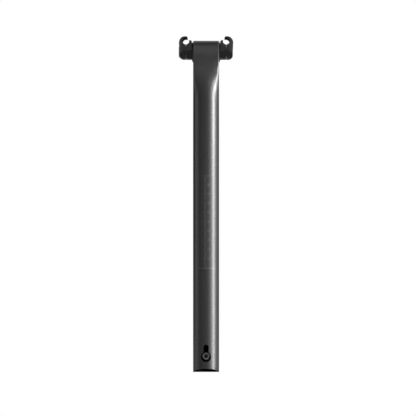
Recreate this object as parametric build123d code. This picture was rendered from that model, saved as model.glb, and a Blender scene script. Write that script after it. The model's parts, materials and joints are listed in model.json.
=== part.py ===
from build123d import *
import os
from math import acos, cos, radians, sin, sqrt, tan

# Shaft: two hollow half-round leaves back to back (millimetres, degrees)
POST_DIAMETER = 27.2
LEAF_WALL = 2.2
WEB_THICKNESS = 2.1
SPLIT_GAP = 0.2
SPLIT_EDGE_CHAMFER = 0.35
CAVITY_CORNER_RADIUS = 1.5
FOOT_RISE = 4.0
SPLIT_DROP = 130.7
FLARE_DROP = 73.7
FRONT_SWING_DROP = 52.0
FRONT_CAVITY_ROOF = 16.0
REAR_CAVITY_ROOF = 9.0

# Springs: the flat upper ends of the leaves and their rolled eyes
AXLE_HEIGHT = 335.7
EYE_GAP = 1.4
SPRING_SIDE_INSET = 0.1
SPRING_THICKNESS = 6.0
SPRING_STRAIGHT = 2.0
SPRING_BEND_RADIUS = 52.0
EYE_SETBACK = 2.3
EYE_EDGE_RADIUS = 1.1
EYE_BORE_RADIUS = 8.0
REAR_FACE_INSET = 0.2
ROUND_FACE_TURN = 60.0
EDGE_SHARPENING = 6.0
FRONT_SECTION_COUNT = 13
REAR_SECTION_COUNT = 13

# Keyhole window and lock bolt at the foot
LOCK_HEIGHT = 17.0
KEYHOLE_DROP = 0.6
KEYHOLE_RADIUS = 5.3
KEYHOLE_SLOT_WIDTH = 5.3
KEYHOLE_SLOT_RISE = 12.8
LOCK_SHANK_RADIUS = 2.5
LOCK_HEAD_RADIUS = 3.75
LOCK_HEAD_LENGTH = 5.0
LOCK_SOCKET_WIDTH = 4.0
LOCK_SOCKET_DEPTH = 2.6
LOCK_WASHER_RADIUS = 4.75
LOCK_WASHER_THICKNESS = 1.0
LOCK_NUT_WIDTH = 14.0
LOCK_NUT_HEIGHT = 12.0
LOCK_NUT_THICKNESS = 4.0
LOCK_NUT_BOSS_RADIUS = 3.6
SLIDE_TRAVEL = 3.0

# Head: axles, cradles, jaws and clamp bolts
AXLE_RADIUS = 6.0
RAIL_RADIUS = 3.5
RAIL_SPACING = 42.2
RAIL_WALL = 1.1
PARTING_GAP = 0.3
SIDE_WASHER_THICKNESS = 1.2
CRADLE_SHOULDER_DROP = 0.1
CRADLE_HORN_RISE = 1.1
CRADLE_HORN_WIDTH = 1.1
JAW_THICKNESS = 7.15
HEAD_OVERHANG = 8.3
HEAD_DEPTH = 7.3
HEAD_FACE_RISE = 1.1
KEEL_EDGE_RISE = 1.5
KEEL_EDGE_PLACE = 4.9
KEEL_FOOT_PLACE = 2.4
KEEL_INNER_PLACE = 5.5
KEEL_ARCH_RISE = 3.8
HEAD_EDGE_RADIUS = 1.0
HOOK_WALL = 2.8
HOOK_DROP = 1.3
HOOK_TIP_REACH = 1.7
HOOK_TIP_ROUNDING = 0.41
JAW_FLANK_TAPER = 0.7
JAW_CORNER_RADIUS = 4.2
JAW_EDGE_RADIUS = 5.0
SIDE_WASHER_WALL = 2.4
SIDE_WASHER_BEVEL = 2.0
CLAMP_SEAT_WALL = 2.75
CLAMP_SHANK_RADIUS = 2.5
CLAMP_HEAD_RADIUS = 5.2
CLAMP_HEAD_LENGTH = 3.6
CLAMP_SOCKET_WIDTH = 4.0
CLAMP_SOCKET_DEPTH = 2.4
THREAD_LENGTH = 14.0
CLAMP_WASHER_THICKNESS = 1.0
SLEEVE_RADIUS = 4.0
SLEEVE_LENGTH = 20.0
THREAD_RUNOUT = 4.0
SLEEVE_HEAD_LENGTH = 4.0
SCREW_EDGE_CHAMFER = 0.4
DRILL_POINT_ANGLE = 118.0

# Clearances
PRESS_CLEARANCE = 0.02
RUNNING_CLEARANCE = 0.05
OPEN_PIVOT_CLEARANCE = 0.35
SLOT_CLEARANCE = 0.3
SIDE_PLAY = 0.2
WASHER_CLEARANCE = 0.1
SLEEVE_CLEARANCE = 0.3
POCKET_CLEARANCE = 0.4

# Worked out from the sizes above
POST_RADIUS = POST_DIAMETER / 2
SPRING_HALF_WIDTH = POST_RADIUS - SPRING_SIDE_INSET
SPLIT_FACE = SPLIT_GAP / 2
WEB_INNER_FACE = SPLIT_FACE + WEB_THICKNESS
EYE_RADIUS = POST_RADIUS - EYE_SETBACK
AXLE_SPACING = 2 * EYE_RADIUS + EYE_GAP
BEND_TURN = acos((SPRING_BEND_RADIUS - POST_RADIUS) / (SPRING_BEND_RADIUS - EYE_RADIUS))
BEND_HEIGHT = AXLE_HEIGHT - (SPRING_BEND_RADIUS - EYE_RADIUS) * sin(BEND_TURN)
SPRING_HEIGHT = BEND_HEIGHT - SPRING_STRAIGHT
SPLIT_HEIGHT = AXLE_HEIGHT - SPLIT_DROP
FLARE_HEIGHT = AXLE_HEIGHT - FLARE_DROP
FRONT_SWING_HEIGHT = AXLE_HEIGHT - FRONT_SWING_DROP
FRONT_SPRING_FACE = POST_RADIUS - SPRING_THICKNESS
REAR_SPRING_FACE = AXLE_SPACING - EYE_RADIUS + REAR_FACE_INSET
REAR_SPRING_BACK = REAR_SPRING_FACE + SPRING_THICKNESS
KEYHOLE_HEIGHT = LOCK_HEIGHT - KEYHOLE_DROP
RAIL_PLACE = RAIL_SPACING / 2
RAIL_HEIGHT = AXLE_HEIGHT + AXLE_RADIUS + RAIL_WALL + RAIL_RADIUS
CRADLE_OUTER_FACE = RAIL_PLACE - PARTING_GAP / 2
JAW_INNER_FACE = RAIL_PLACE + PARTING_GAP / 2
HEAD_HALF_WIDTH = JAW_INNER_FACE + JAW_THICKNESS
CRADLE_INNER_FACE = SPRING_HALF_WIDTH + SIDE_PLAY + SIDE_WASHER_THICKNESS
CRADLE_SHOULDER_HEIGHT = RAIL_HEIGHT - CRADLE_SHOULDER_DROP
CRADLE_HORN_HEIGHT = RAIL_HEIGHT + CRADLE_HORN_RISE
CRADLE_HORN_PLACE = RAIL_PLACE - RAIL_RADIUS - CRADLE_HORN_WIDTH
HEAD_BOTTOM = AXLE_HEIGHT - HEAD_DEPTH
HEAD_FACE_FOOT = AXLE_HEIGHT + HEAD_FACE_RISE
KEEL_EDGE_HEIGHT = HEAD_BOTTOM + KEEL_EDGE_RISE
HOOK_HEIGHT = RAIL_HEIGHT - HOOK_DROP
HOOK_RADIUS = RAIL_RADIUS + HOOK_WALL
HOOK_PLACE = HEAD_HALF_WIDTH - HOOK_RADIUS
HOOK_TIP_PLACE = RAIL_PLACE - HOOK_TIP_REACH
HEAD_FRONT = -HEAD_OVERHANG
HEAD_BACK = AXLE_SPACING + HEAD_OVERHANG
HEAD_MIDDLE = AXLE_SPACING / 2
AXLE_END = CRADLE_OUTER_FACE - PARTING_GAP
AXLE_BORE_RADIUS = SLEEVE_RADIUS + SLEEVE_CLEARANCE
SIDE_WASHER_RIM = AXLE_RADIUS + SIDE_WASHER_WALL
SIDE_WASHER_RADIUS = SIDE_WASHER_RIM + SIDE_WASHER_BEVEL
CLAMP_POCKET_RADIUS = CLAMP_HEAD_RADIUS + POCKET_CLEARANCE
CLAMP_SEAT_PLACE = JAW_INNER_FACE + CLAMP_SEAT_WALL
CLAMP_HEAD_SEAT = CLAMP_SEAT_PLACE + CLAMP_WASHER_THICKNESS
SLEEVE_REACH = CLAMP_SEAT_PLACE - SLEEVE_LENGTH
CLAMP_BOLT_REACH = SLEEVE_REACH + THREAD_LENGTH
SLEEVE_BORE_FLOOR = CLAMP_BOLT_REACH + THREAD_RUNOUT
CUTTER = 2 * POST_DIAMETER


def smooth_share(low, high, value):
    """Share of the way from low to high, eased at both ends."""
    share = min(max((value - low) / (high - low), 0), 1)
    return share * share * (3 - 2 * share)


def flare_share(height):
    """0 on the round shaft, 1 where the leaf is a flat spring."""
    share = (height - FLARE_HEIGHT) / (SPRING_HEIGHT - FLARE_HEIGHT)
    return min(max(share, 0), 1)


def side_prism(outline, half_width):
    """A side outline (Y, Z) drawn out to both sides of the middle plane."""
    return extrude(Plane.YZ * outline, half_width, both=True)


def cross_cylinder(radius, start, end, y, z):
    """A round bar along X from start to end."""
    return Pos((start + end) / 2, y, z) * Rot(0, 90, 0) * Cylinder(radius, abs(end - start))


def hex_socket(width, depth):
    """Hex socket with a drill point, sunk along +Z."""
    point_depth = width / 2 / tan(radians(DRILL_POINT_ANGLE / 2))
    sides = extrude(RegularPolygon(width / 2, 6, major_radius=False), depth)
    return sides + Pos(0, 0, depth + point_depth / 2) * Cone(width / 2, 0, point_depth)


# Leaves


def leaf_section(height, apex, side):
    """Outline of a leaf: a crowned outer face, two round edges and straight flanks."""
    flare = flare_share(height)
    edge = POST_RADIUS / (1 + (POST_RADIUS / EYE_EDGE_RADIUS - 1) * flare**EDGE_SHARPENING)
    half = POST_RADIUS + (SPRING_HALF_WIDTH - POST_RADIUS) * flare
    turn = radians(ROUND_FACE_TURN) * (1 - smooth_share(0, 1, flare * flare))
    middle = half - edge
    level = apex - edge - middle * tan(turn / 2)
    bisector = (turn + radians(90)) / 2
    back = -POST_RADIUS / 4

    def place(x, outward):
        return (x, side * outward, height)

    def on_edge(mirror_side, angle):
        return place(mirror_side * (middle + edge * sin(angle)), level + edge * cos(angle))

    if flare < 1:
        crown = ThreePointArc(on_edge(-1, turn), place(0, apex), on_edge(1, turn))
    else:
        crown = Line(on_edge(-1, turn), on_edge(1, turn))
    right_edge = ThreePointArc(on_edge(1, turn), on_edge(1, bisector), place(half, level))
    right_flank = Line(place(half, level), place(half, back))
    back_line = Line(place(half, back), place(-half, back))
    left_flank = Line(place(-half, back), place(-half, level))
    left_edge = ThreePointArc(place(-half, level), on_edge(-1, bisector), on_edge(-1, turn))
    return make_face([crown, right_edge, right_flank, back_line, left_flank, left_edge])


def leaf_envelope(start, sections, apex_at, side):
    """Round shaft up to start, then a loft that flattens into the spring."""
    steps = [start + (SPRING_HEIGHT - start) * step / (sections - 1) for step in range(sections)]
    shaft = extrude(leaf_section(start, apex_at(start), side), start, dir=(0, 0, -1))
    flare = loft([leaf_section(height, apex_at(height), side) for height in steps])
    return shaft + flare


def behind_face(start, end_face, side):
    """Everything on the far side of a leaf's inner face, which swings away above start."""
    foot = (side * SPLIT_FACE, -POST_RADIUS)
    parting = (side * SPLIT_FACE, start)
    spring = (side * end_face, SPRING_HEIGHT)
    top = (side * end_face, AXLE_HEIGHT)
    far = -side * CUTTER
    swing = Spline(parting, spring, tangents=[(0, 1), (0, 1)])
    straight = Polyline(spring, top, (far, AXLE_HEIGHT), (far, -POST_RADIUS), foot, parting)
    return side_prism(make_face([swing, *straight.edges()]), CUTTER)


def leaf_cavity(top, side):
    """D-shaped hollow of a leaf, open at the foot."""
    bore = Circle(POST_RADIUS - LEAF_WALL)
    keep = Pos(0, side * (WEB_INNER_FACE + CUTTER / 2)) * Rectangle(CUTTER, CUTTER)
    outline = bore & keep
    outline = fillet(outline.vertices(), CAVITY_CORNER_RADIUS)
    return Pos(0, 0, -POST_RADIUS) * extrude(outline, top + POST_RADIUS)


def foot_wedge(side):
    """Oblique cut across the lower end of a leaf."""
    far = side * POST_DIAMETER
    outline = Polyline((0, 0), (far, 2 * FOOT_RISE), (far, -FOOT_RISE), (0, -FOOT_RISE), close=True)
    return side_prism(make_face(outline), CUTTER)


def split_chamfers():
    """Small V grooves where the split meets the round outside."""
    width = SPLIT_EDGE_CHAMFER * sqrt(2)
    stands = (Align.CENTER, Align.CENTER, Align.MIN)
    bar = Rot(0, 0, 45) * Box(width, width, FRONT_SWING_HEIGHT, align=stands)
    return [Pos(x, 0, 0) * bar for x in (-POST_RADIUS, POST_RADIUS)]


def keyhole_window():
    """Round hole with a slot above it, through the front leaf's outer wall."""
    slot_radius = KEYHOLE_SLOT_WIDTH / 2
    slot_top = KEYHOLE_HEIGHT + KEYHOLE_SLOT_RISE - slot_radius
    slot_middle = (KEYHOLE_HEIGHT + slot_top) / 2
    outline = Pos(0, KEYHOLE_HEIGHT) * Circle(KEYHOLE_RADIUS)
    outline += Pos(0, slot_middle) * Rectangle(KEYHOLE_SLOT_WIDTH, slot_top - KEYHOLE_HEIGHT)
    outline += Pos(0, slot_top) * Circle(slot_radius)
    depth = POST_RADIUS - WEB_INNER_FACE
    return Pos(0, -WEB_INNER_FACE - depth / 4, 0) * extrude(Plane.XZ * outline, depth)


def lock_slot():
    """Upright slot in the front web, as long as the leaves can slide."""
    radius = LOCK_SHANK_RADIUS + SLOT_CLEARANCE
    outline = Pos(0, LOCK_HEIGHT) * SlotCenterToCenter(2 * SLIDE_TRAVEL, 2 * radius, rotation=90)
    return extrude(Plane.XZ * outline, WEB_INNER_FACE + LEAF_WALL / 2)


def front_leaf():
    """Front half: straight shaft, spring that bends back into its eye, keyhole and lock slot."""
    leaf = leaf_envelope(SPLIT_HEIGHT, FRONT_SECTION_COUNT, lambda height: POST_RADIUS, -1)
    leaf -= behind_face(FRONT_SWING_HEIGHT, FRONT_SPRING_FACE, -1)
    leaf += front_eye()
    leaf -= leaf_cavity(FLARE_HEIGHT - FRONT_CAVITY_ROOF, -1)
    leaf -= foot_wedge(-1)
    leaf -= split_chamfers()
    leaf -= keyhole_window()
    leaf -= lock_slot()
    return leaf - eye_bore(0)


def front_eye():
    """Top of the front spring: a tangent bend that rolls over into the eye."""
    bend_middle = SPRING_BEND_RADIUS - POST_RADIUS

    def on_bend(turn):
        return (bend_middle - SPRING_BEND_RADIUS * cos(turn), BEND_HEIGHT + SPRING_BEND_RADIUS * sin(turn))

    roll_start = (-EYE_RADIUS * cos(BEND_TURN), AXLE_HEIGHT + EYE_RADIUS * sin(BEND_TURN))
    roll_end = (-FRONT_SPRING_FACE, AXLE_HEIGHT - sqrt(EYE_RADIUS**2 - FRONT_SPRING_FACE**2))
    front_foot = (-POST_RADIUS, SPRING_HEIGHT)
    inner_foot = (-FRONT_SPRING_FACE, SPRING_HEIGHT)
    straight = Line(front_foot, on_bend(0))
    bend = ThreePointArc(on_bend(0), on_bend(BEND_TURN / 2), roll_start)
    roll = ThreePointArc(roll_start, (EYE_RADIUS, AXLE_HEIGHT), roll_end)
    inner = Line(roll_end, inner_foot)
    base = Line(inner_foot, front_foot)
    eye = side_prism(make_face([straight, bend, roll, inner, base]), SPRING_HALF_WIDTH)
    front_edges = eye.edges().filter_by(Axis.Z).group_by(Axis.Y)[0]
    return fillet(front_edges + eye.edges().filter_by(GeomType.CIRCLE), EYE_EDGE_RADIUS)


def rear_apex(height):
    """How far the rear leaf's outer face stands back at a height."""
    share = smooth_share(SPLIT_HEIGHT, SPRING_HEIGHT, height)
    return POST_RADIUS + (REAR_SPRING_BACK - POST_RADIUS) * share


def rear_leaf():
    """Rear half: shaft, spring that stands back from the front one, eye and lock nut hole."""
    leaf = leaf_envelope(SPLIT_HEIGHT, REAR_SECTION_COUNT, rear_apex, 1)
    leaf -= behind_face(SPLIT_HEIGHT, REAR_SPRING_FACE, 1)
    leaf += rear_eye()
    leaf -= leaf_cavity(SPLIT_HEIGHT - REAR_CAVITY_ROOF, 1)
    leaf -= foot_wedge(1)
    leaf -= split_chamfers()
    hole = Cylinder(LOCK_NUT_BOSS_RADIUS + PRESS_CLEARANCE, 2 * WEB_INNER_FACE)
    leaf -= Pos(0, WEB_INNER_FACE, LOCK_HEIGHT) * Rot(90, 0, 0) * hole
    return leaf - eye_bore(AXLE_SPACING)


def rear_eye():
    """Top of the rear spring: a straight strap that runs into the eye's front."""
    rise = AXLE_HEIGHT - SPRING_HEIGHT
    middle = (REAR_SPRING_FACE + REAR_SPRING_BACK) / 2
    strap = Pos(0, middle, SPRING_HEIGHT + rise / 2) * Box(2 * SPRING_HALF_WIDTH, SPRING_THICKNESS, rise)
    back_edges = strap.edges().filter_by(Axis.Z).group_by(Axis.Y)[-1]
    strap = fillet(back_edges, EYE_EDGE_RADIUS)
    eye = cross_cylinder(EYE_RADIUS, -SPRING_HALF_WIDTH, SPRING_HALF_WIDTH, AXLE_SPACING, AXLE_HEIGHT)
    eye = fillet(eye.edges().filter_by(GeomType.CIRCLE), EYE_EDGE_RADIUS)
    return strap + eye


def eye_bore(y):
    """Bore that takes an eye's bush."""
    return cross_cylinder(EYE_BORE_RADIUS, -CUTTER, CUTTER, y, AXLE_HEIGHT)


def eye_bush(y, clearance):
    """Plain bearing bush, flush with both sides of its eye."""
    outside = EYE_BORE_RADIUS - PRESS_CLEARANCE
    shell = cross_cylinder(outside, -SPRING_HALF_WIDTH, SPRING_HALF_WIDTH, y, AXLE_HEIGHT)
    return shell - cross_cylinder(AXLE_RADIUS + clearance, -CUTTER, CUTTER, y, AXLE_HEIGHT)


# Lock bolt at the foot


def along_back(radius, start, end):
    """A round bar along Y from start to end at the lock bolt's height."""
    return Pos(0, (start + end) / 2, LOCK_HEIGHT) * Rot(90, 0, 0) * Cylinder(radius, end - start)


def lock_bolt():
    """Hex-socket bolt from the front web into the rear leaf's nut."""
    seat = -WEB_INNER_FACE - WASHER_CLEARANCE - LOCK_WASHER_THICKNESS
    face = seat - LOCK_HEAD_LENGTH
    tip = WEB_INNER_FACE + LOCK_NUT_THICKNESS
    head = along_back(LOCK_HEAD_RADIUS, face, seat)
    head = chamfer(head.edges().group_by(Axis.Y)[0], SCREW_EDGE_CHAMFER)
    shank = along_back(LOCK_SHANK_RADIUS, seat, tip)
    shank = chamfer(shank.edges().group_by(Axis.Y)[-1], SCREW_EDGE_CHAMFER)
    socket = hex_socket(LOCK_SOCKET_WIDTH, LOCK_SOCKET_DEPTH)
    return head + shank - Pos(0, face, LOCK_HEIGHT) * Rot(-90, 0, 0) * socket


def lock_washer():
    """Flat washer between the bolt head and the front web."""
    back = -WEB_INNER_FACE - WASHER_CLEARANCE
    disc = along_back(LOCK_WASHER_RADIUS, back - LOCK_WASHER_THICKNESS, back)
    return disc - along_back(LOCK_SHANK_RADIUS + PRESS_CLEARANCE, -CUTTER, CUTTER)


def lock_nut():
    """T-nut: a plate inside the rear leaf with a boss that fills the web's hole."""
    back = WEB_INNER_FACE + LOCK_NUT_THICKNESS
    middle = WEB_INNER_FACE + LOCK_NUT_THICKNESS / 2
    plate = Pos(0, middle, LOCK_HEIGHT) * Box(LOCK_NUT_WIDTH, LOCK_NUT_THICKNESS, LOCK_NUT_HEIGHT)
    plate = fillet(plate.edges().filter_by(Axis.Y), CAVITY_CORNER_RADIUS)
    boss = along_back(LOCK_NUT_BOSS_RADIUS, SPLIT_FACE, back)
    return plate + boss - along_back(LOCK_SHANK_RADIUS + PRESS_CLEARANCE, -CUTTER, CUTTER)


# Saddle clamp


def head_side():
    """Side outline shared by cradles and jaws: upright ends, two keels and an arch between."""
    back_foot = AXLE_SPACING - KEEL_INNER_PLACE
    arch_top = (HEAD_MIDDLE, HEAD_BOTTOM + KEEL_ARCH_RISE)
    arch = ThreePointArc((KEEL_INNER_PLACE, HEAD_BOTTOM), arch_top, (back_foot, HEAD_BOTTOM))
    top = HOOK_HEIGHT + 2 * HOOK_RADIUS
    rim = Polyline(
        (back_foot, HEAD_BOTTOM),
        (AXLE_SPACING + KEEL_FOOT_PLACE, HEAD_BOTTOM),
        (AXLE_SPACING + KEEL_EDGE_PLACE, KEEL_EDGE_HEIGHT),
        (HEAD_BACK, HEAD_FACE_FOOT),
        (HEAD_BACK, top),
        (HEAD_FRONT, top),
        (HEAD_FRONT, HEAD_FACE_FOOT),
        (-KEEL_EDGE_PLACE, KEEL_EDGE_HEIGHT),
        (-KEEL_FOOT_PLACE, HEAD_BOTTOM),
        (KEEL_INNER_PLACE, HEAD_BOTTOM),
    )
    outline = make_face([arch, *rim.edges()])
    low = HEAD_BOTTOM + KEEL_EDGE_RISE / 2
    forged_corners = outline.vertices().filter_by_position(Axis.Y, low, HEAD_FACE_FOOT + HEAD_EDGE_RADIUS)
    return side_prism(fillet(forged_corners, HEAD_EDGE_RADIUS), CUTTER)


def front_prism(outline):
    """A front outline (X, Z) drawn through the length of the head."""
    return Pos(0, HEAD_BACK + CUTTER / 2, 0) * extrude(Plane.XZ * outline, HEAD_BACK - HEAD_FRONT + CUTTER)


def plan_prism(outline):
    """A plan outline (X, Y) drawn up through the height of the head."""
    return Pos(0, 0, HEAD_BOTTOM - POST_RADIUS) * extrude(outline, CUTTER)


def plan_rectangle(inner, outer):
    """Plan outline between two distances from the middle plane."""
    length = HEAD_BACK - HEAD_FRONT
    return Pos((inner + outer) / 2, HEAD_MIDDLE) * Rectangle(outer - inner, length)


def rail_groove():
    """Round groove that holds a saddle rail."""
    return Pos(RAIL_PLACE, RAIL_HEIGHT) * Circle(RAIL_RADIUS)


def cradle():
    """Inner half of the right rail clamp, carried on both axles."""
    outline = make_face(Polyline(
        (CRADLE_INNER_FACE, HEAD_BOTTOM),
        (CRADLE_OUTER_FACE, HEAD_BOTTOM),
        (CRADLE_OUTER_FACE, CRADLE_HORN_HEIGHT),
        (CRADLE_HORN_PLACE, CRADLE_HORN_HEIGHT),
        (CRADLE_INNER_FACE, CRADLE_SHOULDER_HEIGHT),
        close=True,
    ))
    plan = plan_rectangle(CRADLE_INNER_FACE, CRADLE_OUTER_FACE)
    block = front_prism(outline - rail_groove()) & head_side() & plan_prism(plan)
    bore = AXLE_RADIUS + PRESS_CLEARANCE
    block -= cross_cylinder(bore, 0, CUTTER, 0, AXLE_HEIGHT)
    return block - cross_cylinder(bore, 0, CUTTER, AXLE_SPACING, AXLE_HEIGHT)


def jaw_outline():
    """Front outline of the right jaw: a hook over the rail on a rounded flank."""
    flank = make_face(Polyline(
        (JAW_INNER_FACE, HEAD_BOTTOM),
        (HEAD_HALF_WIDTH - JAW_FLANK_TAPER, HEAD_BOTTOM),
        (HEAD_HALF_WIDTH, HOOK_HEIGHT),
        (JAW_INNER_FACE, HOOK_HEIGHT),
        close=True,
    ))
    foot_corner = flank.vertices().sort_by(Axis.Y)[:2].sort_by(Axis.X)[-1]
    flank = fillet(foot_corner, JAW_CORNER_RADIUS)
    hook = Pos(HOOK_PLACE, HOOK_HEIGHT) * Circle(HOOK_RADIUS)
    below = Pos(JAW_INNER_FACE - CUTTER / 2, RAIL_HEIGHT - CUTTER / 2) * Rectangle(CUTTER, CUTTER)
    beyond_tip = Pos(HOOK_TIP_PLACE - CUTTER / 2, RAIL_HEIGHT) * Rectangle(CUTTER, CUTTER)
    outline = flank + hook - rail_groove() - below - beyond_tip
    tip = outline.vertices().group_by(Axis.X)[0]
    tip_height = tip.sort_by(Axis.Y)[-1].Y - tip.sort_by(Axis.Y)[0].Y
    return fillet(tip, HOOK_TIP_ROUNDING * tip_height)


def jaw():
    """Outer half of the right rail clamp, without its bolt holes."""
    plan = plan_rectangle(0, HEAD_HALF_WIDTH)
    plan = fillet(plan.vertices().group_by(Axis.X)[-1], JAW_EDGE_RADIUS)
    return front_prism(jaw_outline()) & head_side() & plan_prism(plan)


def bored_jaw(hole_radius, y_places=(0, AXLE_SPACING)):
    """Right jaw with a through hole and a pocket at each axle."""
    body = jaw()
    for y in y_places:
        body -= cross_cylinder(hole_radius, 0, CUTTER, y, AXLE_HEIGHT)
        body -= cross_cylinder(CLAMP_POCKET_RADIUS, CLAMP_SEAT_PLACE, CUTTER, y, AXLE_HEIGHT)
    return body


def axle(y):
    """Hollow axle through an eye and both cradles."""
    bar = cross_cylinder(AXLE_RADIUS, -AXLE_END, AXLE_END, y, AXLE_HEIGHT)
    return bar - cross_cylinder(AXLE_BORE_RADIUS, -CUTTER, CUTTER, y, AXLE_HEIGHT)


def side_washer(y):
    """Cone washer between the right side of an eye and its cradle."""
    inner = SPRING_HALF_WIDTH + SIDE_PLAY
    bore = AXLE_RADIUS + PRESS_CLEARANCE
    section = make_face(Polyline(
        (inner, bore),
        (CRADLE_INNER_FACE, bore),
        (CRADLE_INNER_FACE, SIDE_WASHER_RIM),
        (inner, SIDE_WASHER_RADIUS),
        close=True,
    ))
    return Pos(0, y, AXLE_HEIGHT) * revolve(section, Axis.X)


def clamp_bolt(y):
    """Low-head hex-socket bolt from the left jaw into the sleeve nut."""
    face = -CLAMP_HEAD_SEAT - CLAMP_HEAD_LENGTH
    head = cross_cylinder(CLAMP_HEAD_RADIUS, face, -CLAMP_HEAD_SEAT, y, AXLE_HEIGHT)
    head = chamfer(head.edges().group_by(Axis.X)[0], SCREW_EDGE_CHAMFER)
    shank = cross_cylinder(CLAMP_SHANK_RADIUS, -CLAMP_HEAD_SEAT, CLAMP_BOLT_REACH, y, AXLE_HEIGHT)
    shank = chamfer(shank.edges().group_by(Axis.X)[-1], SCREW_EDGE_CHAMFER)
    socket = hex_socket(CLAMP_SOCKET_WIDTH, CLAMP_SOCKET_DEPTH)
    return head + shank - Pos(face, y, AXLE_HEIGHT) * Rot(0, 90, 0) * socket


def bolt_washer(y):
    """Washer at the bottom of a pocket in the left jaw."""
    disc = cross_cylinder(CLAMP_HEAD_RADIUS, -CLAMP_HEAD_SEAT, -CLAMP_SEAT_PLACE, y, AXLE_HEIGHT)
    return disc - cross_cylinder(CLAMP_SHANK_RADIUS + PRESS_CLEARANCE, -CUTTER, 0, y, AXLE_HEIGHT)


def sleeve_nut(y):
    """Flush sleeve nut in the right jaw, reaching through the axle to the bolt."""
    cap_face = CLAMP_SEAT_PLACE + SLEEVE_HEAD_LENGTH
    sleeve = cross_cylinder(SLEEVE_RADIUS, SLEEVE_REACH, CLAMP_SEAT_PLACE, y, AXLE_HEIGHT)
    cap = cross_cylinder(CLAMP_HEAD_RADIUS, CLAMP_SEAT_PLACE, cap_face, y, AXLE_HEIGHT)
    cap = chamfer(cap.edges().group_by(Axis.X)[-1], SCREW_EDGE_CHAMFER)
    thread = cross_cylinder(CLAMP_SHANK_RADIUS + RUNNING_CLEARANCE, 0, SLEEVE_BORE_FLOOR, y, AXLE_HEIGHT)
    return sleeve + cap - thread


def left(right_piece):
    """Mirror image of a right-hand piece."""
    return mirror(right_piece, about=Plane.YZ)


def build_nodes():
    """Every piece of the seatpost by name."""
    nodes = {
        "front_leaf": front_leaf(),
        "rear_leaf": rear_leaf(),
        "front_eye_bush": eye_bush(0, RUNNING_CLEARANCE),
        "rear_eye_bush": eye_bush(AXLE_SPACING, OPEN_PIVOT_CLEARANCE),
        "lock_bolt": lock_bolt(),
        "lock_washer": lock_washer(),
        "lock_nut": lock_nut(),
        "right_cradle": cradle(),
        "left_cradle": left(cradle()),
        "right_jaw": bored_jaw(SLEEVE_RADIUS + WASHER_CLEARANCE),
        "left_jaw": left(bored_jaw(CLAMP_SHANK_RADIUS + WASHER_CLEARANCE)),
    }
    for place, y in (("front", 0), ("rear", AXLE_SPACING)):
        nodes[f"{place}_axle"] = axle(y)
        nodes[f"{place}_right_side_washer"] = side_washer(y)
        nodes[f"{place}_left_side_washer"] = left(side_washer(y))
        nodes[f"{place}_clamp_bolt"] = clamp_bolt(y)
        nodes[f"{place}_bolt_washer"] = bolt_washer(y)
        nodes[f"{place}_sleeve_nut"] = sleeve_nut(y)
    return nodes


os.makedirs("parts", exist_ok=True)
for name, piece in build_nodes().items():
    export_step(piece, f"parts/{name}.step")
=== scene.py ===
"""Finishes, printed height scale and photo stage of a split carbon bicycle seatpost."""

import json
import math
from typing import NamedTuple

import bmesh
import bpy
from bpy.props import FloatProperty, FloatVectorProperty, IntProperty, PointerProperty
from mathutils import Matrix, Vector


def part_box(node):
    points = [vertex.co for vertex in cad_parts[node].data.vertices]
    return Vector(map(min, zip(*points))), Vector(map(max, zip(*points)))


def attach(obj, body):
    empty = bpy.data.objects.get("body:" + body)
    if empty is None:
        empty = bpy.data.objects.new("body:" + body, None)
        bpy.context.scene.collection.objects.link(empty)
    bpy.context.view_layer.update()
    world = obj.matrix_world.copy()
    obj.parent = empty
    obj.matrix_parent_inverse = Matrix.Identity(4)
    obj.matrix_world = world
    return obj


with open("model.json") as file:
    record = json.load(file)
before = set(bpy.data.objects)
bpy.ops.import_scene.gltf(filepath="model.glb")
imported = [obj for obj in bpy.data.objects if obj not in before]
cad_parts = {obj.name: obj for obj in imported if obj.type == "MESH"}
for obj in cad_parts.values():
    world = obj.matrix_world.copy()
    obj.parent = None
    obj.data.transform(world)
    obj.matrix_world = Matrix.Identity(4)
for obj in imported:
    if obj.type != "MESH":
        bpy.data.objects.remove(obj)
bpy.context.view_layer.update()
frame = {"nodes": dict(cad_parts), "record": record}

bl_info = {
    "name": "Split Seatpost",
    "version": (1, 0, 0),
    "blender": (4, 5, 0),
    "location": "3D View > Sidebar > Seatpost",
    "description": "Finishes, height scale and stage of a split carbon seatpost",
    "category": "Object",
}

# Pieces by finish

NODES = frame["nodes"]
FRONT_LEAF = "front_leaf"
REAR_LEAF = "rear_leaf"
ALLOY_NODES = (
    "left_cradle",
    "right_cradle",
    "left_jaw",
    "right_jaw",
    "front_axle",
    "rear_axle",
    "front_sleeve_nut",
    "rear_sleeve_nut",
    "lock_nut",
)
BOLTS_ACROSS = {
    "lock_bolt": (1, 0, 1),
    "front_clamp_bolt": (0, 1, 1),
    "rear_clamp_bolt": (0, 1, 1),
}
WASHER_NODES = ("lock_washer", "front_bolt_washer", "rear_bolt_washer")
BEARING_NODES = (
    "front_eye_bush",
    "rear_eye_bush",
    "front_left_side_washer",
    "front_right_side_washer",
    "rear_left_side_washer",
    "rear_right_side_washer",
)

# Places on the shaft in metres

SHAFT = next(mount for mount in frame["record"]["mounts"] if mount["name"] == "seat_tube_shaft")
SHAFT_RADIUS = SHAFT["dims"]["r_mm"] / 1000
SHAFT_LENGTH = SHAFT["dims"]["length_mm"] / 1000
COAT_DEPTH = 0.0003
RAW_DEPTH = 0.0005
FOOT_RISE = 0.004
FOOT_CUT_REACH = 0.0001
TRIM_DEPTH = 0.00025
TRIM_FOOT = 0.262
TRIM_TOP = 0.29
SOCKET_RADIUS = 0.002

# Shades and detail of the finishes

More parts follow.
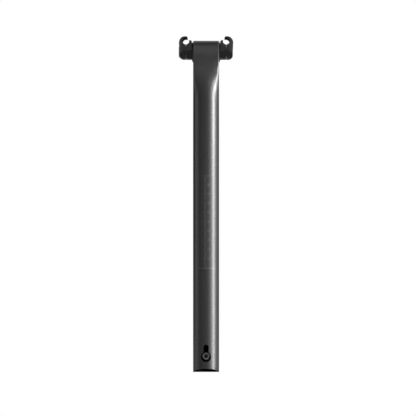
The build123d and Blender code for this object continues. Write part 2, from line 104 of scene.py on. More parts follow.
WHITE = (1, 1, 1, 1)
CARD_BLACK = (0.01, 0.01, 0.01, 1)
GRAIN_DARK = 0.72
GRAIN_LIGHT = 1.3
GRAIN_DETAIL = 3
GRAIN_LOW = 0.3
GRAIN_HIGH = 0.7
HANDLING_DETAIL = 4
NOISE_MIDDLE = 0.5
# Share of the steel colour kept as painted shade inside the bolts' sockets
SOCKET_SHADE = 0.25

# Counts and shares in the print and the stage

MARKS_PER_NUMBER = 10
MARKS_PER_HALF = 5
MARK_PIECES = 4
LIMIT_PIECES = 16
FIGURE_SHARE = 0.7
FIGURE_STEPS = 3
FLOOR_SIDES = 64
CARD_STEPS = 12
FULL_TURN = 360
SENSOR_WIDTH = 36
PICTURE_LEVEL = 0.1718


# Lamps and cards round the post


class LampPlan(NamedTuple):
    """A lamp's degrees round from the front, distance, height, target, size and spread."""

    angle: float
    distance: float
    height: float
    target: tuple
    size: tuple
    spread: float = 180


class CardPlan(NamedTuple):
    """A card's first and last angle, and the distance and height of its two edges."""

    start: float
    end: float
    foot: tuple
    top: tuple


STRIP_LAMP = LampPlan(angle=70, distance=0.65, height=0.09, target=(0, 0, 0.09), size=(0.19, 0.42))
UPPER_LAMP = LampPlan(angle=70, distance=0.3, height=0.3, target=(0, 0, 0.3), size=(0.024, 0.12))
CREST_LAMP = LampPlan(
    angle=55, distance=0.25, height=0.234, target=(0.012, -0.012, 0.325), size=(0.08, 0.03), spread=16
)
FRONT_LAMP = LampPlan(angle=42, distance=1.2, height=0.04, target=(0, 0, 0.04), size=(0.7, 0.4))
LEFT_LAMP = LampPlan(
    angle=-95, distance=1.0, height=PICTURE_LEVEL, target=(0, 0, PICTURE_LEVEL), size=(0.2, 1.2)
)
TOP_LAMP = LampPlan(angle=0, distance=0.8, height=0.955, target=(0, 0, 0.33), size=(1.2, 0.3))
CARDS = {
    "front_left_card": CardPlan(start=-67, end=-51, foot=(1.3, -0.1), top=(1.3, 0.9)),
    "rear_card": CardPlan(start=128, end=246, foot=(1.3, -0.1), top=(1.3, 0.9)),
    "low_front_card": CardPlan(start=-60, end=60, foot=(0.1, -0.1), top=(0.7, -0.1)),
    "low_rear_card": CardPlan(start=110, end=250, foot=(0.01, -0.1), top=(0.45, -0.1)),
    "overhead_card": CardPlan(start=0, end=FULL_TURN, foot=(0.01, 1.2), top=(0.3, 1.2)),
    "front_upper_card": CardPlan(start=-40, end=40, foot=(1.3, 0.42), top=(1.3, 1.3)),
}


# Sizes and colours


def color_prop(name, description, default):
    """A colour that the panel shows as a swatch."""
    return FloatVectorProperty(
        name=name, description=description, default=default, subtype="COLOR", min=0, max=1
    )


def share_prop(name, description, default):
    """A share from 0 to 1."""
    return FloatProperty(
        name=name, description=description, default=default, subtype="FACTOR", min=0, max=1
    )


def length_prop(name, description, default):
    """A length in metres."""
    return FloatProperty(
        name=name, description=description, default=default, subtype="DISTANCE", unit="LENGTH"
    )


def power_prop(name, description, default):
    """A lamp's power in watts."""
    return FloatProperty(name=name, description=description, default=default, unit="POWER", min=0)


def count_prop(name, description, default):
    """A whole number from 1."""
    return IntProperty(name=name, description=description, default=default, min=1)


class SeatpostFinish(bpy.types.PropertyGroup):
    """Colours and gloss of the seatpost's materials."""

    carbon_color: color_prop("Carbon", "Colour of the satin carbon leaves", (0.006, 0.006, 0.0062))
    carbon_gloss: share_prop("Carbon roughness", "Roughness of the satin clear coat", 0.4)
    alloy_color: color_prop("Alloy", "Colour of the black anodised head", (0.006, 0.006, 0.0062))
    alloy_gloss: share_prop("Alloy roughness", "Roughness of the blasted, anodised head", 0.5)
    steel_color: color_prop("Steel", "Colour of the black oxide bolts", (0.16, 0.16, 0.163))
    steel_gloss: share_prop("Steel roughness", "Roughness of the bolts", 0.36)
    washer_color: color_prop("Washer", "Colour of the phosphated washers", (0.012, 0.012, 0.012))
    washer_gloss: share_prop("Washer roughness", "Roughness of the phosphated washers", 0.7)
    plastic_color: color_prop("Bearing", "Colour of the bearing plastic", (0.014, 0.014, 0.014))
    plastic_gloss: share_prop("Bearing roughness", "Roughness of the bearing plastic", 0.55)
    # Uncoated carbon, also used as near-black painted shade in the hollow and on the foot's cut
    raw_and_shade_color: color_prop("Raw carbon", "Colour of the uncoated carbon", (0.002, 0.002, 0.002))
    raw_gloss: share_prop("Raw roughness", "Roughness of the uncoated carbon", 0.9)
    cut_gloss: share_prop("Cut roughness", "Roughness of the sealed cut across the foot", 0.3)
    print_color: color_prop("Print", "Colour of the printed height scale", (0.055, 0.055, 0.055))


class SeatpostScale(bpy.types.PropertyGroup):
    """Sizes of the printed height scale."""

    limit_height: length_prop("Insertion limit", "Height of the insertion limit line", 0.109)
    limit_half_width: length_prop("Limit half width", "Half the limit line's length", 0.0098)
    scale_foot: length_prop("Scale foot", "Height from which the marks are counted", 0.1096)
    mark_pitch: length_prop("Mark pitch", "Distance from one mark to the next", 0.00096)
    mark_count: count_prop("Marks", "Number of marks on the scale", 100)
    first_number: count_prop("First number", "Lowest printed number", 12)
    mark_thickness: length_prop("Mark thickness", "Thickness of one printed mark", 0.00026)
    short_mark: length_prop("Short mark", "Length of a plain mark", 0.0018)
    middle_mark: length_prop("Middle mark", "Length of every fifth mark", 0.0026)
    long_mark: length_prop("Long mark", "Length of every tenth mark", 0.0037)
    number_height: length_prop("Number height", "Height of the printed numbers", 0.0024)
    number_place: length_prop("Number place", "Distance of the numbers from the marks", 0.0009)
    ink_height: length_prop("Ink height", "Height of the print over the carbon", 0.00002)


class SeatpostStage(bpy.types.PropertyGroup):
    """Camera, floor and lamps."""

    camera_distance: length_prop("Camera distance", "Distance from the camera to the shaft's axis", 3.0)
    frame_width: length_prop("Frame width", "Width of the picture at the shaft's axis", 0.4359)
    frame_x: length_prop("Frame X", "Sideways place of the picture's middle", 0.00202)
    frame_z: length_prop("Frame Z", "Height of the picture's middle", PICTURE_LEVEL)
    floor_drop: length_prop("Floor drop", "Distance of the floor below the foot", 0.12)
    floor_radius: length_prop("Floor radius", "Radius of the floor", 3.0)
    fade_start: length_prop("Fade start", "Reach at which the floor starts to turn white", 0.25)
    fade_end: length_prop("Fade end", "Reach from which the floor is white", 0.62)
    floor_color: color_prop("Floor", "Colour of the floor", (0.86, 0.86, 0.86))
    fill_strength: share_prop("Fill", "Brightness of the light from all round", 0.35)
    strip_power: power_prop("Strip power", "Power of the tall strip lamp at the right", 10.0)
    rear_power: power_prop("Rear power", "Power of the strip lamp's twin for the rear leaf", 4.5)
    upper_power: power_prop("Upper power", "Power of the narrow lamp beside the head", 1.4)
    crest_power: power_prop("Crest power", "Power of the narrow lamp on the spring's edge", 0.025)
    front_power: power_prop("Front power", "Power of the broad lamp at the front right", 2.4)
    left_power: power_prop("Left power", "Power of the tall lamp at the left", 0.8)
    top_power: power_prop("Top power", "Power of the lamp above the front", 1.7)


# Shader nodes


def add_node(tree, kind, **settings):
    """A new node with its settings."""
    node = tree.nodes.new(kind)
    for key, value in settings.items():
        setattr(node, key, value)
    return node


def set_inputs(node, values):
    """Sets a node's inputs to plain values."""
    for socket, value in values.items():
        node.inputs[socket].default_value = value


def new_group(name, inputs, outputs):
    """An empty shader node group with named sockets."""
    group = bpy.data.node_groups.new(name, "ShaderNodeTree")
    for socket, kind, value in inputs:
        made = group.interface.new_socket(socket, in_out="INPUT", socket_type=f"NodeSocket{kind}")
        made.default_value = value
    for socket in outputs:
        group.interface.new_socket(socket, in_out="OUTPUT", socket_type="NodeSocketFloat")
    return group, add_node(group, "NodeGroupInput"), add_node(group, "NodeGroupOutput")


def fine_grain_group():
    """Stretched noise: fibre streaks, blasting or moulding grain."""
    name = "Fine grain"
    if name in bpy.data.node_groups:
        return bpy.data.node_groups[name]
    inputs = (
        ("Vector", "Vector", (0, 0, 0)),
        ("Stretch", "Vector", (1, 1, 1)),
        ("Scale", "Float", 1000),
    )
    group, given, result = new_group(name, inputs, ("Value", "Height"))
    stretched = add_node(group, "ShaderNodeVectorMath", operation="MULTIPLY")
    noise = add_node(group, "ShaderNodeTexNoise")
    set_inputs(noise, {"Detail": GRAIN_DETAIL})
    spread = add_node(group, "ShaderNodeMapRange")
    set_inputs(spread, {"From Min": GRAIN_LOW, "From Max": GRAIN_HIGH})
    link = group.links.new
    link(given.outputs["Vector"], stretched.inputs[0])
    link(given.outputs["Stretch"], stretched.inputs[1])
    link(stretched.outputs[0], noise.inputs["Vector"])
    link(given.outputs["Scale"], noise.inputs["Scale"])
    link(noise.outputs["Fac"], spread.inputs["Value"])
    link(spread.outputs["Result"], result.inputs["Value"])
    link(noise.outputs["Fac"], result.inputs["Height"])
    return group


def handling_group():
    """Broad, soft patches where hands and cloths have dulled or polished a surface."""
    name = "Handling marks"
    if name in bpy.data.node_groups:
        return bpy.data.node_groups[name]
    inputs = (
        ("Vector", "Vector", (0, 0, 0)),
        ("Scale", "Float", 40),
        ("Roughness", "Float", 0.4),
        ("Amount", "Float", 0.03),
    )
    group, given, result = new_group(name, inputs, ("Roughness",))
    noise = add_node(group, "ShaderNodeTexNoise")
    set_inputs(noise, {"Detail": HANDLING_DETAIL})
    centred = add_node(group, "ShaderNodeMath", operation="SUBTRACT")
    set_inputs(centred, {1: NOISE_MIDDLE})
    scaled = add_node(group, "ShaderNodeMath", operation="MULTIPLY")
    total = add_node(group, "ShaderNodeMath", operation="ADD", use_clamp=True)
    link = group.links.new
    link(given.outputs["Vector"], noise.inputs["Vector"])
    link(given.outputs["Scale"], noise.inputs["Scale"])
    link(noise.outputs["Fac"], centred.inputs[0])
    link(centred.outputs[0], scaled.inputs[0])
    link(given.outputs["Amount"], scaled.inputs[1])
    link(scaled.outputs[0], total.inputs[0])
    link(given.outputs["Roughness"], total.inputs[1])
    link(total.outputs[0], result.inputs["Roughness"])
    return group


def socket_group():
    """1 within a radius of a bolt's axis, 0 outside it."""
    name = "Bolt socket"
    if name in bpy.data.node_groups:
        return bpy.data.node_groups[name]
    inputs = (
        ("Vector", "Vector", (0, 0, 0)),
        ("Middle", "Vector", (0, 0, 0)),
        ("Across", "Vector", (1, 0, 1)),
        ("Radius", "Float", SOCKET_RADIUS),
    )
    group, given, result = new_group(name, inputs, ("Mask",))
    moved = add_node(group, "ShaderNodeVectorMath", operation="SUBTRACT")
    across = add_node(group, "ShaderNodeVectorMath", operation="MULTIPLY")
    reach = add_node(group, "ShaderNodeVectorMath", operation="LENGTH")
    within = add_node(group, "ShaderNodeMath", operation="LESS_THAN")
    link = group.links.new
    link(given.outputs["Vector"], moved.inputs[0])
    link(given.outputs["Middle"], moved.inputs[1])
    link(moved.outputs[0], across.inputs[0])
    link(given.outputs["Across"], across.inputs[1])
    link(across.outputs[0], reach.inputs[0])
    link(reach.outputs["Value"], within.inputs[0])
    link(given.outputs["Radius"], within.inputs[1])
    link(within.outputs[0], result.inputs["Mask"])
    return group


def add_group(tree, group, vector, values):
    """Places a node group, fed by the object's own coordinates."""
    node = add_node(tree, "ShaderNodeGroup", node_tree=group)
    tree.links.new(vector, node.inputs["Vector"])
    set_inputs(node, values)
    return node


def hollow_mask(tree, place):
    """1 inside the round shaft, 0 on the coated outside."""
    across = add_node(tree, "ShaderNodeVectorMath", operation="MULTIPLY")
    set_inputs(across, {1: (1, 1, 0)})
    reach = add_node(tree, "ShaderNodeVectorMath", operation="LENGTH")
    inside = add_node(tree, "ShaderNodeMapRange")
    raw_reach = SHAFT_RADIUS - RAW_DEPTH
    coat_reach = SHAFT_RADIUS - COAT_DEPTH
    set_inputs(inside, {"From Min": raw_reach, "From Max": coat_reach, "To Min": 1, "To Max": 0})
    split = add_node(tree, "ShaderNodeSeparateXYZ")
    below = add_node(tree, "ShaderNodeMath", operation="LESS_THAN")
    set_inputs(below, {1: SHAFT_LENGTH})
    both = add_node(tree, "ShaderNodeMath", operation="MULTIPLY")
    link = tree.links.new
    link(place, across.inputs[0])
    link(across.outputs[0], reach.inputs[0])
    link(reach.outputs["Value"], inside.inputs["Value"])
    link(place, split.inputs[0])
    link(split.outputs["Z"], below.inputs[0])
    link(inside.outputs["Result"], both.inputs[0])
    link(below.outputs[0], both.inputs[1])
    return both.outputs[0]


def foot_mask(tree, place):
    """1 on the oblique cut across the foot, 0 above it."""
    split = add_node(tree, "ShaderNodeSeparateXYZ")
    reach = add_node(tree, "ShaderNodeMath", operation="ABSOLUTE")
    rise = add_node(tree, "ShaderNodeMath", operation="MULTIPLY")
    set_inputs(rise, {1: FOOT_RISE / SHAFT_RADIUS})
    above = add_node(tree, "ShaderNodeMath", operation="SUBTRACT")
    near = add_node(tree, "ShaderNodeMath", operation="LESS_THAN")
    set_inputs(near, {1: FOOT_CUT_REACH})
    link = tree.links.new
    link(place, split.inputs[0])
    link(split.outputs["Y"], reach.inputs[0])
    link(reach.outputs[0], rise.inputs[0])
    link(split.outputs["Z"], above.inputs[0])
    link(rise.outputs[0], above.inputs[1])
    link(above.outputs[0], near.inputs[0])
    return near.outputs[0]


def trim_mask(tree, place):
    """1 on the trimmed sides of the springs, 0 on the lacquered faces."""
    split = add_node(tree, "ShaderNodeSeparateXYZ")
    reach = add_node(tree, "ShaderNodeMath", operation="ABSOLUTE")
    side = add_node(tree, "ShaderNodeMath", operation="GREATER_THAN")
    set_inputs(side, {1: SHAFT_RADIUS - TRIM_DEPTH})
    rise = add_node(tree, "ShaderNodeMapRange", interpolation_type="SMOOTHSTEP")
    set_inputs(rise, {"From Min": TRIM_FOOT, "From Max": TRIM_TOP})
    both = add_node(tree, "ShaderNodeMath", operation="MULTIPLY")
    link = tree.links.new
    link(place, split.inputs[0])
    link(split.outputs["X"], reach.inputs[0])
    link(reach.outputs[0], side.inputs[0])
    link(split.outputs["Z"], rise.inputs["Value"])
    link(side.outputs[0], both.inputs[0])
    link(rise.outputs["Result"], both.inputs[1])
    return both.outputs[0]


# Materials


def shaded(color, factor):
    """A colour made darker or lighter, with full alpha."""
    return (*(channel * factor for channel in color), 1)


def finish_material(name, color, rough, grain, marks, relief, constants):
    """A finished surface: grained colour, handled gloss and fine relief."""
    material = bpy.data.materials.new(name)
    material.use_nodes = True
    tree = material.node_tree
    tree.nodes.clear()
    link = tree.links.new
    output = add_node(tree, "ShaderNodeOutputMaterial")
    shader = add_node(tree, "ShaderNodeBsdfPrincipled", name="finish")
    set_inputs(shader, constants)
    link(shader.outputs["BSDF"], output.inputs["Surface"])
    place = add_node(tree, "ShaderNodeTexCoord", name="place").outputs["Object"]
    grained = add_group(tree, fine_grain_group(), place, grain)
    mixed = add_node(tree, "ShaderNodeMix", data_type="RGBA")
    set_inputs(mixed, {"A": shaded(color, GRAIN_DARK), "B": shaded(color, GRAIN_LIGHT)})
    link(grained.outputs["Value"], mixed.inputs["Factor"])
    link(mixed.outputs["Result"], shader.inputs["Base Color"])
    handled = add_group(tree, handling_group(), place, {"Roughness": rough, **marks})
    link(handled.outputs["Roughness"], shader.inputs["Roughness"])
    bump = add_node(tree, "ShaderNodeBump")
    set_inputs(bump, relief)
    link(grained.outputs["Height"], bump.inputs["Height"])
    link(bump.outputs["Normal"], shader.inputs["Normal"])
    return material


def finish_nodes(material):
    """A finished surface's node tree, its shader and its object coordinates."""
    tree = material.node_tree
    return tree, tree.nodes["finish"], tree.nodes["place"].outputs["Object"]


def lay_over(tree, socket, value, mask, data_type):
    """Mixes a plain value over what feeds a socket, by a mask."""
    mixed = add_node(tree, "ShaderNodeMix", data_type=data_type)
    factor, under, over = [end for end in mixed.inputs if end.enabled]
    result = next(end for end in mixed.outputs if end.enabled)
    over.default_value = value
    tree.links.new(mask, factor)
    tree.links.new(socket.links[0].from_socket, under)
    tree.links.new(result, socket)


def lay_finish(tree, shader, color, rough, mask):
    """Lays another colour and roughness over a finish, by a mask."""
    lay_over(tree, shader.inputs["Base Color"], color, mask, "RGBA")
    lay_over(tree, shader.inputs["Roughness"], rough, mask, "FLOAT")


def carbon_material(finish):
    """Unidirectional carbon under a satin clear coat, uncoated in the hollow and where it is cut; the
    hollow and the foot's cut are also darkened as painted shade.
    """
    material = finish_material(
        "satin_carbon",
        finish.carbon_color,
        finish.carbon_gloss,
        grain={"Stretch": (1, 1, 0.02), "Scale": 2600},
        marks={"Scale": 60, "Amount": 0.02},
        relief={"Strength": 0.12, "Distance": 0.00002},
        constants={"Specular IOR Level": 0.45},
    )
    tree, shader, place = finish_nodes(material)
    raw_and_shade = shaded(finish.raw_and_shade_color, 1)
    # Painted shade: the hollow takes the near-black uncoated colour and full metallic, so it reflects
    # nothing and stands in for the shade inside the tube; the carbon there is also really uncoated
    hollow = hollow_mask(tree, place)
    lay_finish(tree, shader, raw_and_shade, finish.raw_gloss, hollow)
    tree.links.new(hollow, shader.inputs["Metallic"])
    # Painted shade: the oblique cut across the foot takes the same near-black colour, for the shade
    # under the foot, on carbon that is really uncoated there
    lay_finish(tree, shader, raw_and_shade, finish.cut_gloss, foot_mask(tree, place))
    lay_finish(tree, shader, raw_and_shade, finish.raw_gloss, trim_mask(tree, place))
    return material


def alloy_material(finish):
    """Bead-blasted aluminium with black anodising."""
    return finish_material(
        "black_anodised_alloy",
        finish.alloy_color,
        finish.alloy_gloss,
        grain={"Scale": 5200},
        marks={"Scale": 90, "Amount": 0.06},
        relief={"Strength": 0.25, "Distance": 0.00002},
        constants={"Specular IOR Level": 0.5},
    )


def bolt_material(finish, bolt, across):
    """Machined steel with a black oxide skin, with painted shade inside the bolt's socket."""
    material = finish_material(
        f"black_oxide_{bolt}",
        finish.steel_color,
        finish.steel_gloss,
        grain={"Scale": 3600},
        marks={"Scale": 160, "Amount": 0.1},
        relief={"Strength": 0.15, "Distance": 0.00001},
        constants={"Metallic": 0.7},
    )
    tree, shader, place = finish_nodes(material)
    low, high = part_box(bolt)
    middle = (Vector(low) + Vector(high)) / 2
    socket = add_group(tree, socket_group(), place, {"Middle": middle, "Across": across})
    # Painted shade: the steel colour is darkened within the socket's radius, standing in for the shade
    # in the recess
    painted_socket_shade = shaded(finish.steel_color, SOCKET_SHADE)
    lay_finish(tree, shader, painted_socket_shade, finish.raw_gloss, socket.outputs["Mask"])
    return material


def washer_material(finish):
    """Phosphated steel, dark and matt."""
    return finish_material(
        "phosphated_steel",
        finish.washer_color,
        finish.washer_gloss,
        grain={"Scale": 4200},
        marks={"Scale": 160, "Amount": 0.08},
        relief={"Strength": 0.2, "Distance": 0.00001},
        constants={"Specular IOR Level": 0.2},
    )


def bearing_material(finish):
    """Moulded bearing plastic."""
    return finish_material(
        "bearing_plastic",
        finish.plastic_color,
        finish.plastic_gloss,
        grain={"Scale": 3000},
        marks={"Scale": 120, "Amount": 0.08},
        relief={"Strength": 0.2, "Distance": 0.00001},
        constants={"Specular IOR Level": 0.15},
    )


def print_material(finish):
    """Thin grey print."""
    return finish_material(
        "scale_print",
        finish.print_color,
        finish.carbon_gloss,
        grain={"Scale": 9000},
        marks={"Scale": 200, "Amount": 0.06},
        relief={"Strength": 0.1, "Distance": 0.000005},
        constants={"Specular IOR Level": 0.5},
    )


def paint_nodes(names, material):
    """Gives CAD nodes their finished material."""
    for name in names:
        for material_slot in NODES[name].material_slots:
            material_slot.material = material


# Objects


def add_object(name, shape, material):
    """Makes a shape into an object of the scene."""
    mesh_data = bpy.data.meshes.new(name)
    shape.to_mesh(mesh_data)
    shape.free()
    mesh_data.materials.append(material)
    made = bpy.data.objects.new(name, mesh_data)
    bpy.context.scene.collection.objects.link(made)
    return made


def new_piece(name, shape, material, body):
    """Makes a shape into an object that rides on a body and takes a slot's finish."""
    piece = add_object(name, shape, material)
    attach(piece, body)


# Printed height scale


def add_strip(shape, left, right, height, thickness, pieces):
    """Adds a flat strip of print from left to right at a height."""
    place = Matrix.Translation(((left + right) / 2, height, 0))
    size = Matrix.Diagonal(((right - left) / 2, thickness / 2, 1, 1))
    bmesh.ops.create_grid(shape, x_segments=pieces, y_segments=1, size=1, matrix=place @ size)


def add_figures(shape, figures, left, height, figure_height):
    """Adds flat figures, centred on a height."""
    curve = bpy.data.curves.new("figures", "FONT")
    curve.body = figures
    curve.size = figure_height / FIGURE_SHARE
    curve.resolution_u = FIGURE_STEPS
    curve.align_y = "CENTER"
    holder = bpy.data.objects.new("figures", curve)
    bpy.context.scene.collection.objects.link(holder)
    bpy.context.view_layer.update()
    filled = holder.evaluated_get(bpy.context.evaluated_depsgraph_get())
    flat = bpy.data.meshes.new_from_object(filled)
    flat.transform(Matrix.Translation((left, height, 0)))
    shape.from_mesh(flat)
    bpy.data.objects.remove(holder)
    bpy.data.curves.remove(curve)
    bpy.data.meshes.remove(flat)


def print_on_leaf(name, shape, ink, radius):
    """Rolls flat print (X across, Y up) onto the front leaf and makes it a piece."""
    for corner in shape.verts:
        turn = corner.co.x / radius
        corner.co = Vector((radius * math.sin(turn), -radius * math.cos(turn), corner.co.y))
    new_piece(name, shape, ink, FRONT_LEAF)


# Stage


def round_about(angle, distance, height):
    """A place round the post: 0 degrees is in front and 90 at the right."""
    turn = math.radians(angle)
    return (distance * math.sin(turn), -distance * math.cos(turn), height)


def light_list(name, nodes, state):
    """A lamp's list of the only CAD nodes that it lights, or of those that it leaves unlit."""
    listed = bpy.data.collections.new(name)
    for node in nodes:
        listed.objects.link(NODES[node])
    for member in listed.collection_objects:
        member.light_linking.link_state = state
    return listed


def add_lamp(name, plan, power, lights=None):
    """A soft rectangular lamp, for everything or by a light list."""
    data = bpy.data.lights.new(name, "AREA")
    data.shape = "RECTANGLE"
    data.size, data.size_y = plan.size
    data.spread = math.radians(plan.spread)
    data.energy = power
    lamp = bpy.data.objects.new(name, data)
    lamp.location = round_about(plan.angle, plan.distance, plan.height)
    ahead = Vector(plan.target) - lamp.location
    lamp.rotation_euler = ahead.to_track_quat("-Z", "Y").to_euler()
    lamp.visible_camera = False
    lamp.light_linking.receiver_collection = lights
    bpy.context.scene.collection.objects.link(lamp)


def card_material():
    """Matt black card."""
    material = bpy.data.materials.new("black_card")
    material.use_nodes = True
    shader = material.node_tree.nodes["Principled BSDF"]
    set_inputs(shader, {"Base Color": CARD_BLACK, "Roughness": 1, "Specular IOR Level": 0})
    return material


def add_card(name, plan, material):
    """A black card round the post, which only reflections see."""
    shape = bmesh.new()
    foot = shape.verts.new(round_about(plan.start, *plan.foot))
    top = shape.verts.new(round_about(plan.start, *plan.top))
    edge = shape.edges.new((foot, top))
    turn = plan.end - plan.start
    bmesh.ops.spin(
        shape,
        geom=[foot, top, edge],
        cent=(0, 0, 0),
        axis=(0, 0, 1),
        angle=math.radians(turn),
        steps=CARD_STEPS,
        use_merge=turn == FULL_TURN,
    )
    card = add_object(name, shape, material)
    card.visible_camera = False
    card.visible_diffuse = False
    card.visible_shadow = False


def seen_directly(tree):
    """1 for rays that show the background: camera, glossy and transmission."""
    path = add_node(tree, "ShaderNodeLightPath")
    first = add_node(tree, "ShaderNodeMath", operation="MAXIMUM")
    second = add_node(tree, "ShaderNodeMath", operation="MAXIMUM")
    tree.links.new(path.outputs["Is Camera Ray"], first.inputs[0])
    tree.links.new(path.outputs["Is Glossy Ray"], first.inputs[1])
    tree.links.new(first.outputs[0], second.inputs[0])
    tree.links.new(path.outputs["Is Transmission Ray"], second.inputs[1])
    return second.outputs[0]


def set_world(fill):
    """White all round to look at, and a plain soft fill as light."""
    world = bpy.data.worlds.new("studio")
    world.use_nodes = True
    tree = world.node_tree
    tree.nodes.clear()
    link = tree.links.new
    light = add_node(tree, "ShaderNodeBackground")
    set_inputs(light, {"Color": WHITE, "Strength": fill})
    white = add_node(tree, "ShaderNodeBackground")
    set_inputs(white, {"Color": WHITE, "Strength": 1})
    mixed = add_node(tree, "ShaderNodeMixShader")
    output = add_node(tree, "ShaderNodeOutputWorld")
    link(seen_directly(tree), mixed.inputs["Fac"])
    link(light.outputs["Background"], mixed.inputs[1])
    link(white.outputs["Background"], mixed.inputs[2])
    link(mixed.outputs["Shader"], output.inputs["Surface"])
    bpy.context.scene.world = world


def floor_material(sizes):
    """Pale matt floor that runs out into white."""
    material = bpy.data.materials.new("pale_floor")
    material.use_nodes = True
    tree = material.node_tree
    tree.nodes.clear()
    link = tree.links.new
    output = add_node(tree, "ShaderNodeOutputMaterial")
    matt = add_node(tree, "ShaderNodeBsdfDiffuse")
    set_inputs(matt, {"Color": shaded(sizes.floor_color, 1)})
    white = add_node(tree, "ShaderNodeEmission")
    set_inputs(white, {"Color": WHITE})
    place = add_node(tree, "ShaderNodeTexCoord")
    reach = add_node(tree, "ShaderNodeVectorMath", operation="LENGTH")
    fade = add_node(tree, "ShaderNodeMapRange", interpolation_type="SMOOTHSTEP")
    set_inputs(fade, {"From Min": sizes.fade_start, "From Max": sizes.fade_end})
    shown = add_node(tree, "ShaderNodeMath", operation="MULTIPLY")
    mixed = add_node(tree, "ShaderNodeMixShader")
    link(place.outputs["Object"], reach.inputs[0])
    link(reach.outputs["Value"], fade.inputs["Value"])
    link(fade.outputs["Result"], shown.inputs[0])
    link(seen_directly(tree), shown.inputs[1])
    link(shown.outputs[0], mixed.inputs["Fac"])
    link(matt.outputs["BSDF"], mixed.inputs[1])
    link(white.outputs["Emission"], mixed.inputs[2])
    link(mixed.outputs["Shader"], output.inputs["Surface"])
    return material


# Operators


class SEATPOST_OT_carbon_leaves(bpy.types.Operator):
    """Finish both carbon leaves"""

    bl_idname = "seatpost.carbon_leaves"
    bl_label = "Carbon Leaves"

    def execute(self, context):
        carbon = carbon_material(context.scene.seatpost_finish)
        paint_nodes((FRONT_LEAF, REAR_LEAF), carbon)
        return {"FINISHED"}


class SEATPOST_OT_alloy_head(bpy.types.Operator):
    """Finish the cradles, jaws, axles and nuts"""

    bl_idname = "seatpost.alloy_head"
    bl_label = "Alloy Head"

    def execute(self, context):
        paint_nodes(ALLOY_NODES, alloy_material(context.scene.seatpost_finish))
        return {"FINISHED"}


class SEATPOST_OT_steel_fasteners(bpy.types.Operator):
    """Finish the bolts and their washers"""

    bl_idname = "seatpost.steel_fasteners"
    bl_label = "Steel Fasteners"

    def execute(self, context):
        finish = context.scene.seatpost_finish
        for bolt, across in BOLTS_ACROSS.items():
            paint_nodes((bolt,), bolt_material(finish, bolt, across))
        paint_nodes(WASHER_NODES, washer_material(finish))
        return {"FINISHED"}


class SEATPOST_OT_bearings(bpy.types.Operator):
    """Finish the eye bushes and side washers"""

    bl_idname = "seatpost.bearings"
    bl_label = "Bearings"

    def execute(self, context):
        paint_nodes(BEARING_NODES, bearing_material(context.scene.seatpost_finish))
        return {"FINISHED"}


class SEATPOST_OT_height_scale(bpy.types.Operator):
    """Print the height scale and the insertion limit on the front leaf"""

    bl_idname = "seatpost.height_scale"
    bl_label = "Height Scale"

    def execute(self, context):
        sizes = context.scene.seatpost_scale
        ink = print_material(context.scene.seatpost_finish)
        radius = SHAFT_RADIUS + sizes.ink_height
        self.print_marks(sizes, ink, radius)
        self.print_numbers(sizes, ink, radius)
        self.print_limit(sizes, ink, radius)
        return {"FINISHED"}

    def print_marks(self, sizes, ink, radius):
        """Short marks, with longer ones at each half and whole number."""
        shape = bmesh.new()
        for mark in range(1, sizes.mark_count + 1):
            length = sizes.short_mark
            if mark % MARKS_PER_HALF == 0:
                length = sizes.middle_mark
            if mark % MARKS_PER_NUMBER == 0:
                length = sizes.long_mark
            height = sizes.scale_foot + mark * sizes.mark_pitch
            add_strip(shape, -length, 0, height, sizes.mark_thickness, MARK_PIECES)
        print_on_leaf("height_scale_marks", shape, ink, radius)

    def print_numbers(self, sizes, ink, radius):
        """A number beside each long mark."""
        shape = bmesh.new()
        for step in range(sizes.mark_count // MARKS_PER_NUMBER):
            height = sizes.scale_foot + MARKS_PER_NUMBER * (step + 1) * sizes.mark_pitch
            figures = str(sizes.first_number + step)
            add_figures(shape, figures, sizes.number_place, height, sizes.number_height)
        print_on_leaf("height_scale_numbers", shape, ink, radius)

    def print_limit(self, sizes, ink, radius):
        """The insertion limit line, twice as thick as a mark."""
        shape = bmesh.new()
        half = sizes.limit_half_width
        add_strip(shape, -half, half, sizes.limit_height, 2 * sizes.mark_thickness, LIMIT_PIECES)
        print_on_leaf("insertion_limit_line", shape, ink, radius)


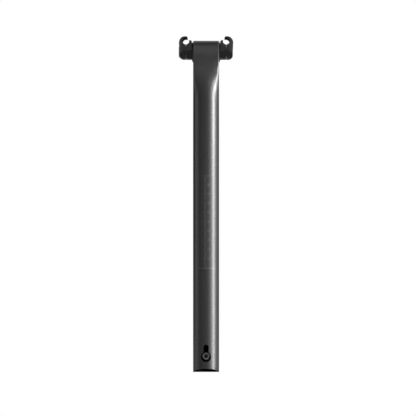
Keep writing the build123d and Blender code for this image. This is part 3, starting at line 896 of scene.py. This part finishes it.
class SEATPOST_OT_stage(bpy.types.Operator):
    """Set up the camera, lamps, floor and white surroundings"""

    bl_idname = "seatpost.stage"
    bl_label = "Stage"

    def execute(self, context):
        sizes = context.scene.seatpost_stage
        context.scene.view_settings.view_transform = "Standard"
        set_world(sizes.fill_strength)
        self.add_floor(sizes)
        self.add_lamps(sizes)
        self.add_cards()
        self.add_camera(sizes)
        return {"FINISHED"}

    def add_floor(self, sizes):
        """A round floor below the foot."""
        shape = bmesh.new()
        bmesh.ops.create_circle(shape, cap_ends=True, radius=sizes.floor_radius, segments=FLOOR_SIDES)
        floor = add_object("floor", shape, floor_material(sizes))
        floor.location.z = -sizes.floor_drop

    def add_lamps(self, sizes):
        """Lamps for the shaft's highlight at the right, and soft ones for the whole post."""
        unlit = light_list("left_unlit", (*ALLOY_NODES, *BEARING_NODES, REAR_LEAF), "EXCLUDE")
        rear_only = light_list("rear_leaf_only", (REAR_LEAF,), "INCLUDE")
        add_lamp("strip_lamp", STRIP_LAMP, sizes.strip_power, unlit)
        add_lamp("rear_strip_lamp", STRIP_LAMP, sizes.rear_power, rear_only)
        add_lamp("upper_lamp", UPPER_LAMP, sizes.upper_power, unlit)
        add_lamp("crest_lamp", CREST_LAMP, sizes.crest_power, unlit)
        add_lamp("front_lamp", FRONT_LAMP, sizes.front_power)
        add_lamp("left_lamp", LEFT_LAMP, sizes.left_power)
        add_lamp("top_lamp", TOP_LAMP, sizes.top_power)

    def add_cards(self):
        """Black cards for the dark bands in the reflections."""
        material = card_material()
        for name, plan in CARDS.items():
            add_card(name, plan, material)

    def add_camera(self, sizes):
        """A level camera in front of the shaft."""
        data = bpy.data.cameras.new("camera")
        data.sensor_width = SENSOR_WIDTH
        data.lens = SENSOR_WIDTH * sizes.camera_distance / sizes.frame_width
        camera = bpy.data.objects.new("camera", data)
        camera.location = (sizes.frame_x, -sizes.camera_distance, sizes.frame_z)
        camera.rotation_euler = (math.radians(90), 0, 0)
        bpy.context.scene.collection.objects.link(camera)
        bpy.context.scene.camera = camera


# Panel


class SEATPOST_PT_panel(bpy.types.Panel):
    """Seatpost finishes, sizes and steps"""

    bl_idname = "SEATPOST_PT_panel"
    bl_label = "Seatpost"
    bl_space_type = "VIEW_3D"
    bl_region_type = "UI"
    bl_category = "Seatpost"

    def draw(self, context):
        for name, _ in GROUPS:
            group = getattr(context.scene, name)
            box = self.layout.box()
            for size in group.__annotations__:
                box.prop(group, size)
        for step in STEPS:
            self.layout.operator(step.bl_idname)


GROUPS = (
    ("seatpost_finish", SeatpostFinish),
    ("seatpost_scale", SeatpostScale),
    ("seatpost_stage", SeatpostStage),
)
STEPS = (
    SEATPOST_OT_carbon_leaves,
    SEATPOST_OT_alloy_head,
    SEATPOST_OT_steel_fasteners,
    SEATPOST_OT_bearings,
    SEATPOST_OT_height_scale,
    SEATPOST_OT_stage,
)


def register():
    """Registers the sizes, steps and panel."""
    for name, group in GROUPS:
        bpy.utils.register_class(group)
        setattr(bpy.types.Scene, name, PointerProperty(type=group))
    for step in STEPS:
        bpy.utils.register_class(step)
    bpy.utils.register_class(SEATPOST_PT_panel)


def unregister():
    """Takes everything out again."""
    bpy.utils.unregister_class(SEATPOST_PT_panel)
    for step in reversed(STEPS):
        bpy.utils.unregister_class(step)
    for name, group in reversed(GROUPS):
        delattr(bpy.types.Scene, name)
        bpy.utils.unregister_class(group)


def main():
    """Dresses the seatpost."""
    register()
    bpy.ops.seatpost.carbon_leaves()
    bpy.ops.seatpost.alloy_head()
    bpy.ops.seatpost.steel_fasteners()
    bpy.ops.seatpost.bearings()
    bpy.ops.seatpost.height_scale()
    bpy.ops.seatpost.stage()


if __name__ == "__main__":
    main()
